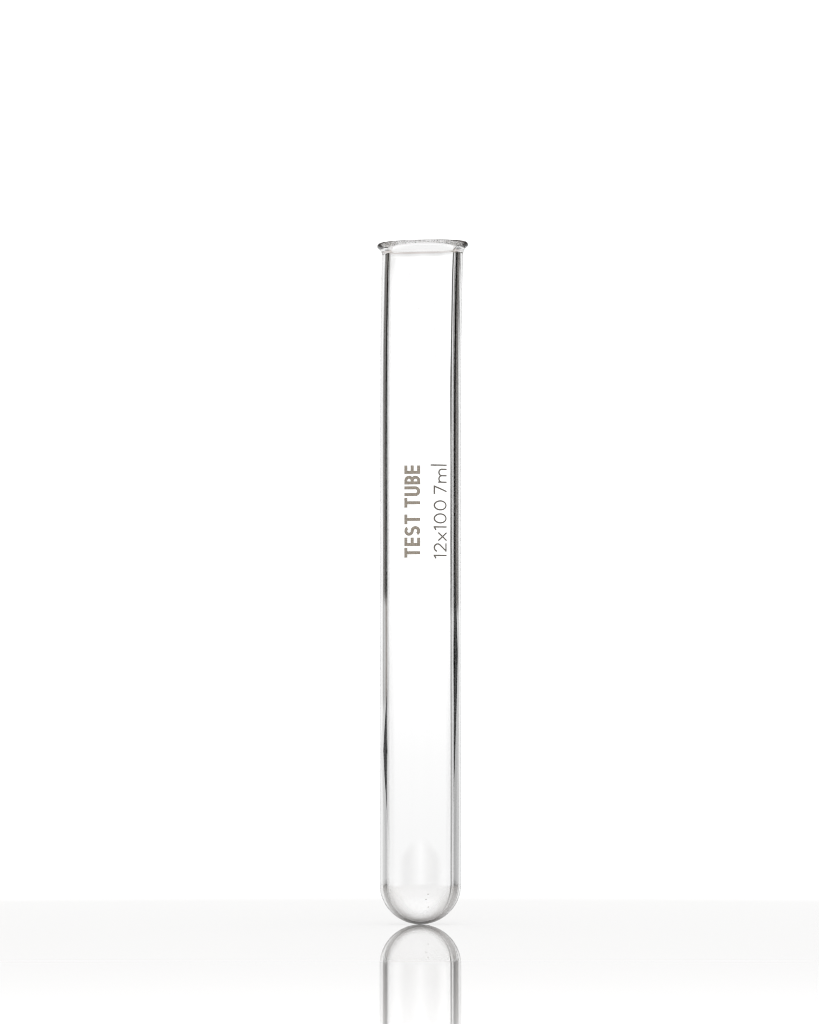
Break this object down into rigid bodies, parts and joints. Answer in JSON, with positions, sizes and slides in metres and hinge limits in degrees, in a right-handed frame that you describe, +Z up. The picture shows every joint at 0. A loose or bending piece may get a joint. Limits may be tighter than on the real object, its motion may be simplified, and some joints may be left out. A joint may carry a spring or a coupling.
{
  "type": "test tube",
  "caption": "Clear glass test tube with a flared fire-polished rim, a straight wall, a round bottom and fired enamel size and capacity legends.",
  "frame": {"origin": "lowest point of the round bottom, on the tube's axis", "axes": "+Z up the axis to the mouth, -Y out through the side that carries the print, +X to the right of a reader who faces the print"},
  "size_m": [0.0134, 0.0134, 0.1],
  "materials": {
    "clear_glass": "clear, flame polished borosilicate glass",
    "print_enamel": "fired warm grey enamel, satin"
  },
  "bodies": {
    "root": {"glass_tube": "clear_glass", "enamel_word": "print_enamel", "enamel_size": "print_enamel", "enamel_capacity": "print_enamel"}
  },
  "joints": []
}
